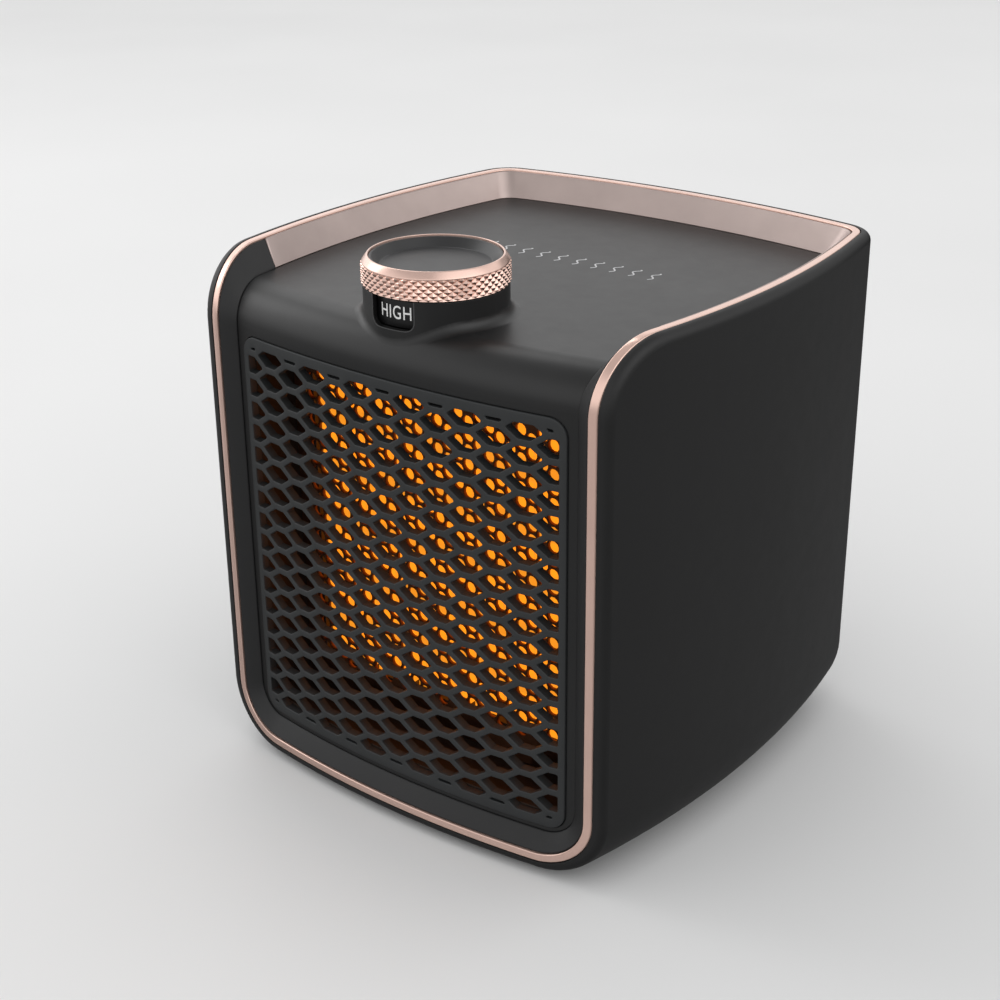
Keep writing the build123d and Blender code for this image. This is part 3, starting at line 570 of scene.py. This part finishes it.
grille_outline = Outline(box_corners(GRILLE.x1 - GRILLE.x0, GRILLE.z1 - GRILLE.z0), GRILLE_CORNER_R, 8)
perforated("front_grille_lattice", grille_outline, cell_outlines(), GRILLE_PROFILE, on_grille,
           body="case", slot="grille", replaced=["front_grille"], sharp=40)

# ---------------------------------------------------------------- perforated guard in front of the element
GUARD = box_mm("inner_guard")
GUARD_Z, GUARD_CORNER_R = (GUARD.z0 + GUARD.z1) / 2, 3.0
GUARD_PROFILE = [(0.10, 0.0), (0.0, 0.12), (0.0, GUARD.y1 - GUARD.y0)]
HOLES_W, HOLES_H = 105.6, 102.4
HOLE_R, HOLE_STEP = 1.9, 4.35


def guard_holes():
    """Staggered columns of holes, each as far from all its neighbours."""
    step_x = HOLE_STEP * math.sqrt(3) / 2
    columns = int((HOLES_W / 2 - HOLE_R) / step_x)
    rows = int((HOLES_H / 2 - HOLE_R) / HOLE_STEP)
    holes = []
    for column in range(-columns, columns + 1):
        shift = 0.5 if column % 2 else 0.0
        for row in range(-rows, rows + (0 if shift else 1)):
            holes.append(Round(column * step_x, (row + shift) * HOLE_STEP, HOLE_R))
    return holes


def on_guard(x, z, depth):
    return (x, GUARD.y0 + depth, GUARD_Z + z)


guard_outline = Outline(box_corners(GUARD.x1 - GUARD.x0, GUARD.z1 - GUARD.z0), GUARD_CORNER_R, 4)
perforated("inner_guard_perforated", guard_outline, guard_holes(), GUARD_PROFILE, on_guard,
           body="case", slot="guard", replaced=["inner_guard"], sharp=40)

# ---------------------------------------------------------------- window in the collar under the knob, edged with a strip of painted highlight
RING, CAP, DRUM = box_mm("knob_ring"), box_mm("knob_cap"), box_mm("label_drum")
KNOB = ((RING.x0 + RING.x1) / 2, (RING.y0 + RING.y1) / 2)
COLLAR_R, COLLAR_TOP = 20.5, 159.9
WINDOW_W, WINDOW_LOW, WINDOW_CORNER_R, WINDOW_TURN = 14.0, 151.6, 2.5, 2.3
# width, rise, sink and rounding of the pale strip that paints a highlight round the window's edge
HIGHLIGHT_W, HIGHLIGHT_PROUD, HIGHLIGHT_SINK, HIGHLIGHT_ROUND = 0.30, 0.06, -0.2, 0.08
HIGHLIGHT_END_Z = COLLAR_TOP - 0.05


def window_path(grow, proud):
    """Down one side of the window, along its foot and up the other side, on the collar's round face."""
    half, low, r = WINDOW_W / 2 + grow, WINDOW_LOW - grow, WINDOW_CORNER_R + grow
    arc = [math.pi / 2 * k / 8 for k in range(9)]
    flat = [(-half, HIGHLIGHT_END_Z), (-half, (COLLAR_TOP + low) / 2)]
    flat += [(-half + r - r * math.cos(t), low + r - r * math.sin(t)) for t in arc]
    flat += [(x * (half - r), low) for x in (-0.75, -0.5, -0.25, 0, 0.25, 0.5, 0.75)]
    flat += [(half - r + r * math.sin(t), low + r - r * math.cos(t)) for t in arc]
    flat += [(half, (COLLAR_TOP + low) / 2), (half, HIGHLIGHT_END_Z)]
    turn = math.radians(WINDOW_TURN)
    path = []
    for across, z in flat:
        forward = math.sqrt((COLLAR_R + proud) ** 2 - across ** 2)
        path.append((KNOB[0] + across * math.cos(turn) + forward * math.sin(turn),
                     KNOB[1] + across * math.sin(turn) - forward * math.cos(turn), z))
    return path


# a thin pale strip along the window's edge: painted highlight where the collar wall's edge catches the light
highlight_corners = [(0.0, HIGHLIGHT_SINK), (0.0, HIGHLIGHT_PROUD), (HIGHLIGHT_W, HIGHLIGHT_PROUD), (HIGHLIGHT_W, HIGHLIGHT_SINK)]
sweep("window_edge_highlight", rounded(highlight_corners, HIGHLIGHT_ROUND, steps=2), window_path, False,
      body="case", slot="window", sharp=40)

# ---------------------------------------------------------------- knob
RING_R = (RING.x1 - RING.x0) / 2
SHOULDER = RING.z1 - 1.8                      # the foot of the ring's polished cone
LIP_R, BORE_R = 19.2, 18.72
KNURL_COUNT, KNURL_ROWS, KNURL_DEPTH = 48, 6, 0.55
KNURL_MARGIN, KNURL_TIP = 0.6, 0.12
DISH_DEPTH, STEM_R, CAP_R = 2.5, 5.0, 18.65
LABELS = (("HIGH", 10.2), ("LOW", 8.8), ("OFF", 8.0))         # and their widths
LABEL_AZIMUTH, LABEL_STEP, LABEL_H, LABEL_Z = -87.2, 60, 3.75, 155.95
PRINT_HALF = 0.05                             # half the thickness of the words


def round_knob(angle, reach, z):
    return (KNOB[0] + reach * math.cos(angle), KNOB[1] + reach * math.sin(angle), z)


def turned(name, profile, segments, **made):
    """A profile of (radius, z) turned about the knob's axis. It is closed, or starts and ends on the axis."""
    points, rings = [], []
    for radius, z in profile:
        count = segments if radius else 1
        rings.append(list(range(len(points), len(points) + count)))
        points += [round_knob(TAU * k / segments, radius, z) for k in range(count)]
    following = rings[1:] + (rings[:1] if profile[0][0] else [])
    faces = []
    for a, b in zip(rings, following):
        for k in range(segments):
            k2 = (k + 1) % segments
            corners = [a[k % len(a)], a[k2 % len(a)], b[k2 % len(b)], b[k % len(b)]]
            faces.append(tuple(dict.fromkeys(corners)))
    mesh_piece(name, points, faces, body="knob", **made)


def knob_ring():
    """The ring's smooth parts: a thin lip, the polished cone, and the core that carries the knurl."""
    edge, core = RING_R - 0.35, RING_R - KNURL_DEPTH - 0.1
    corners = [(BORE_R, RING.z1 - 3), (BORE_R, RING.z1), (LIP_R, RING.z1), (edge, SHOULDER),
               (edge, SHOULDER - 0.35), (core, SHOULDER - 0.5), (core, SHOULDER - 1.0)]
    profile = rounded(corners, 0.22, steps=3) + [(core, RING.z0 + 0.05), (BORE_R, RING.z0 + 0.05)]
    turned("knob_ring_polished", profile, 176, slot="rose_gold", replaced=["knob_ring"], sharp=30)


def knob_knurl():
    """A closed band whose outside is rows of diamond pyramids with small flat tips, between plain edges."""
    low, high = RING.z0 + 0.02, SHOULDER - 0.1
    step = (high - low - 2 * KNURL_MARGIN) / (KNURL_ROWS - 1)
    columns, last = 2 * KNURL_COUNT, KNURL_ROWS + 1
    points, faces = [], []

    def at(a, b, radius, lift=0.0):
        z = low if b <= 0 else high if b >= last else low + KNURL_MARGIN + (b - 1) * step
        points.append(round_knob(TAU * a / columns, radius, z + lift))
        return len(points) - 1

    valley, inner = RING_R - KNURL_DEPTH, RING_R - KNURL_DEPTH - 0.5
    ground, back = {}, {}
    for a in range(columns):
        for b in range(last + 1):
            if (a + b) % 2 or b in (0, last):
                raised = 0.0 if (a + b) % 2 else 0.4 * KNURL_DEPTH
                ground[a, b] = at(a, b, valley + raised)
        for b in (0, last):
            back[a, b] = at(a, b, inner)
    for a in range(columns):
        before, after = (a - 1) % columns, (a + 1) % columns
        for b in range(1, last):
            if (a + b) % 2:
                continue
            left, right = ground[before, b], ground[after, b]
            up, down = ground[a, b + 1], ground[a, b - 1]
            west, east = at(a - KNURL_TIP, b, RING_R), at(a + KNURL_TIP, b, RING_R)
            north, south = at(a, b, RING_R, KNURL_TIP * step), at(a, b, RING_R, -KNURL_TIP * step)
            faces += [(right, up, north, east), (up, left, west, north), (left, down, south, west),
                      (down, right, east, south), (west, south, east, north)]
        for b, row in ((0, 1), (last, last - 1)):
            if (a + row) % 2:
                faces += [(ground[before, b], ground[a, b], ground[a, row]),
                          (ground[a, b], ground[after, b], ground[a, row])]
            faces.append((ground[a, b], ground[after, b], back[after, b], back[a, b]))
        faces.append((back[a, 0], back[after, 0], back[after, last], back[a, last]))
    mesh_piece("knob_knurl", points, faces, body="knob", slot="knurled_gold", sharp=10)


def knob_cap():
    """The dished cap inside the ring: a steep wall down to a flat satin floor, on a stem."""
    floor = CAP.z1 - DISH_DEPTH
    wall = [(15.0, floor), (15.7, floor), (17.7, CAP.z1 - 0.3), (18.0, CAP.z1), (CAP_R - 0.05, CAP.z1),
            (CAP_R, CAP.z1 - 0.4)]
    profile = [(0, floor), (8, floor), (14.6, floor)] + rounded(wall, 0.3)
    profile += [(CAP_R, floor - 2.0), (STEM_R, floor - 2.2), (STEM_R, CAP.z0), (0, CAP.z0)]
    turned("knob_cap_dished", profile, 128, slot="cap", replaced=["knob_cap"], sharp=35)


def wrapped_word(word, azimuth, width, radius):
    """Flat lettering bent round the drum. The azimuth is that of the word's middle."""
    curve = bpy.data.curves.new("word_" + word, "FONT")
    curve.body = word
    curve.extrude = 0.5
    curve.offset = 0.002
    curve.space_character = 1.12
    curve.resolution_u = 5
    source = add_object("word_" + word, curve)
    bpy.context.view_layer.update()
    mesh = bpy.data.meshes.new_from_object(source.evaluated_get(bpy.context.evaluated_depsgraph_get()))
    xs, ys = [v.co.x for v in mesh.vertices], [v.co.y for v in mesh.vertices]
    x0, x1, y0, y1 = min(xs), max(xs), min(ys), max(ys)
    points = []
    for v in mesh.vertices:
        along = (v.co.x - (x0 + x1) / 2) * width / (x1 - x0)
        reach = radius + (PRINT_HALF if v.co.z > 0 else -PRINT_HALF)
        z = LABEL_Z + (v.co.y - (y0 + y1) / 2) * LABEL_H / (y1 - y0)
        points.append(round_knob(math.radians(azimuth) + along / radius, reach, z))
    faces = [tuple(p.vertices) for p in mesh.polygons]
    bpy.data.objects.remove(source)
    mesh_piece("label_" + word.lower(), points, faces, body="knob", slot="lettering", sharp=30)


def label_drum():
    """The drum behind the collar's window, with its three settings printed round it."""
    bore, shoulder_r, wall_t = 6.4, 17.5, 1.6
    radius, low = (DRUM.x1 - DRUM.x0) / 2, DRUM.z0 + 0.02
    corners = [(bore, DRUM.z1), (shoulder_r, DRUM.z1), (shoulder_r, DRUM.z1 - 3.6), (radius, DRUM.z1 - 3.7),
               (radius, low), (radius - wall_t, low), (radius - wall_t, DRUM.z1 - 4.6), (bore, DRUM.z1 - 4.6)]
    profile = rounded(corners, 0.15, steps=2)
    turned("label_drum_body", profile, 144, slot="drum", replaced=["label_drum"], sharp=35)
    for step, (word, width) in enumerate(LABELS):
        wrapped_word(word, LABEL_AZIMUTH - LABEL_STEP * step, width, radius)


knob_ring()
knob_knurl()
knob_cap()
label_drum()

# ---------------------------------------------------------------- ornament on the top
HOUSING_TOP = RIM_Z - 8.5
WAVE_COUNT, WAVE_SPACING, WAVE_LENGTH, WAVE_SWING, WAVE_TURNS = 10, 6.8, 7.0, 1.0, 1.25
WAVE_STROKE, WAVE_POINTS, WAVE_Y = 0.50, 24, 11.7
INLAY_LOW, INLAY_HIGH = -0.03, 0.06           # from the housing's top


def heat_waves():
    """A row of thin rising waves inlaid in the top of the housing."""
    points, faces = [], []
    edges = ((-1, INLAY_LOW), (-1, INLAY_HIGH), (1, INLAY_HIGH), (1, INLAY_LOW))
    for k in range(WAVE_COUNT):
        x0 = (k - (WAVE_COUNT - 1) / 2) * WAVE_SPACING
        centres = []
        for j in range(WAVE_POINTS + 1):
            t = j / WAVE_POINTS
            swing = WAVE_SWING * math.sin(TAU * WAVE_TURNS * t) * math.sin(math.pi * t) ** 0.3
            centres.append(Vector((x0 + swing, WAVE_Y + (t - 0.5) * WAVE_LENGTH)))
        start = len(points)
        for j, centre in enumerate(centres):
            d = (centres[min(j + 1, WAVE_POINTS)] - centres[max(j - 1, 0)]).normalized()
            for side, z in edges:
                out_to = WAVE_STROKE / 2 * side
                points.append((centre.x + d.y * out_to, centre.y - d.x * out_to, HOUSING_TOP + z))
        rows, columns = len(centres), len(edges)
        faces += grid_faces(rows, columns, close_columns=True, start=start)
        faces.append(tuple(start + c for c in range(columns)))
        faces.append(tuple(start + (rows - 1) * columns + c for c in reversed(range(columns))))
    mesh_piece("top_ornament", points, faces, body="case", slot="inlay", sharp=40)


heat_waves()

# ---------------------------------------------------------------- floor, light and camera, in metres
AZIMUTH, ELEVATION, ROLL = 38.345, 23.814, -0.566
DISTANCE, LENS = 0.5506, 63.136
TARGET, SLIDE = Vector((0.0, -0.0059, 0.07992)), -0.0110
LIT_POINT = Vector((0, 0, 0.08))
FLOOR_START, FLOOR_RUN, FLOOR_W = -3.0, 13.0, 16.0
FLOOR_FLAT, FLOOR_BEND = 6.5, 1.5             # how far back it stays flat, and the radius it curves up by
EVEN_LIGHT = 0.92
LOW_LIGHT, HIGH_LIGHT, OVERHEAD = 0.18, 1.0, 0.42
HORIZON, UPPER_EDGE = (-0.12, 0.22), (0.50, 0.85)             # heights that the studio's light changes over
SOFT_PATCHES = (                              # azimuth, elevation, half width in degrees, and brightness
    (-13, -24, 44, 0.20),
    (-95, 10, 48, 0.55),
    (88, 42, 42, 0.85),
    (142, -24, 40, 0.10),
    (178, 8, 24, -0.70),
)
PATCH_CORE = 0.99                             # cosine of the angle within which a patch is at full strength


def toward(azimuth, elevation):
    """The direction from the object to something seen at an azimuth from its front, and an elevation."""
    a, e = math.radians(azimuth), math.radians(elevation)
    return Vector((math.sin(a) * math.cos(e), -math.cos(a) * math.cos(e), math.sin(e)))


def studio_floor():
    """A pale sweep: flat under the object, curving up far behind it."""
    rows, columns = 60, 3
    points = []
    for r in range(rows + 1):
        s = FLOOR_START + FLOOR_RUN * r / rows
        y, z = s, 0.0
        if s >= FLOOR_FLAT:
            a = min((s - FLOOR_FLAT) / FLOOR_BEND, math.pi / 2)
            straight = max(0.0, s - FLOOR_FLAT - FLOOR_BEND * math.pi / 2)
            y, z = FLOOR_FLAT + FLOOR_BEND * math.sin(a), FLOOR_BEND * (1 - math.cos(a)) + straight
        points += [((c / columns - 0.5) * FLOOR_W, y, z) for c in range(columns + 1)]
    mesh = bpy.data.meshes.new("studio_floor")
    mesh.from_pydata(points, [], grid_faces(rows + 1, columns + 1))
    mesh.shade_smooth()
    g = Graph("pale_floor", Roughness=0.85, Specular_IOR_Level=0.2)
    g.colour(g.noise(3.0), (0.80, 0.80, 0.80), (0.83, 0.83, 0.83))
    mesh.materials.append(g.material)
    floor = add_object("studio_floor", mesh)
    floor.rotation_euler.z = math.radians(AZIMUTH)
    floor.visible_glossy = False


def soft_light(name, azimuth, elevation, distance, size, power):
    """A large rectangular light aimed at the object."""
    light = bpy.data.lights.new(name, "AREA")
    light.shape = "RECTANGLE"
    light.size, light.size_y = size
    light.energy = power
    lamp = add_object(name, light)
    back = toward(azimuth, elevation)
    lamp.location = LIT_POINT + back * distance
    lamp.rotation_mode = "QUATERNION"
    lamp.rotation_quaternion = (-back).to_track_quat("-Z", "Y")


def studio_camera():
    a, roll = math.radians(AZIMUTH), math.radians(ROLL)
    back = toward(AZIMUTH, ELEVATION)
    right = Vector((math.cos(a), math.sin(a), 0))
    up = back.cross(right)
    camera_right = right * math.cos(roll) + up * math.sin(roll)
    camera_up = up * math.cos(roll) - right * math.sin(roll)
    data = bpy.data.cameras.new("studio_camera")
    data.lens, data.sensor_width = LENS, 36.0
    data.clip_start, data.clip_end = 0.01, 20.0
    camera = add_object("studio_camera", data)
    place = TARGET + back * DISTANCE + right * SLIDE
    turn = Matrix((camera_right, camera_up, back)).transposed().to_4x4()
    camera.matrix_world = Matrix.Translation(place) @ turn
    bpy.context.scene.camera = camera


def studio_world():
    """Even white light. Reflections see a studio instead: a bright band above the horizon, dimmer overhead
    and much dimmer below the horizon, with soft brighter and darker places around the object."""
    world = bpy.data.worlds.new("studio")
    bpy.context.scene.world = world
    world.use_nodes = True
    tree = world.node_tree

    def link(node, output, other, socket):
        tree.links.new(node.outputs[output], other.inputs[socket])

    def fade(source, output, span, low, high):
        node = tree.nodes.new("ShaderNodeMapRange")
        node.interpolation_type = "SMOOTHSTEP"
        for socket, value in zip(("From Min", "From Max", "To Min", "To Max"), (*span, low, high)):
            node.inputs[socket].default_value = value
        link(source, output, node, "Value")
        return node

    def combine(kind, first, second):
        node = tree.nodes.new("ShaderNodeMath")
        node.operation = kind
        for socket, source in enumerate((first, second)):
            link(source, 0, node, socket)
        return node

    direction = tree.nodes.new("ShaderNodeTexCoord")
    parts = tree.nodes.new("ShaderNodeSeparateXYZ")
    link(direction, "Generated", parts, "Vector")
    total = combine("MULTIPLY", fade(parts, "Z", HORIZON, LOW_LIGHT, HIGH_LIGHT),
                    fade(parts, "Z", UPPER_EDGE, 1.0, OVERHEAD))
    for azimuth, elevation, width, amount in SOFT_PATCHES:
        aim = tree.nodes.new("ShaderNodeVectorMath")
        aim.operation = "DOT_PRODUCT"
        aim.inputs[1].default_value = toward(azimuth, elevation)
        link(direction, "Generated", aim, 0)
        span = (math.cos(math.radians(width)), PATCH_CORE)
        total = combine("ADD", total, fade(aim, "Value", span, 0.0, amount))
    even, studio = tree.nodes["Background"], tree.nodes.new("ShaderNodeBackground")
    for background in (even, studio):
        background.inputs["Color"].default_value = (1.0, 1.0, 1.0, 1.0)
    even.inputs["Strength"].default_value = EVEN_LIGHT
    link(total, "Value", studio, "Strength")
    rays, mix = tree.nodes.new("ShaderNodeLightPath"), tree.nodes.new("ShaderNodeMixShader")
    link(rays, "Is Glossy Ray", mix, "Fac")
    link(even, "Background", mix, 1)
    link(studio, "Background", mix, 2)
    link(mix, "Shader", tree.nodes["World Output"], "Surface")


studio_floor()
studio_world()
soft_light("top_softbox", -117, 52, 1.3, (0.5, 0.4), 1.1)
soft_light("left_softbox", -78, 34, 1.4, (0.5, 0.8), 1.7)
studio_camera()
bpy.context.scene.view_settings.view_transform = "Standard"
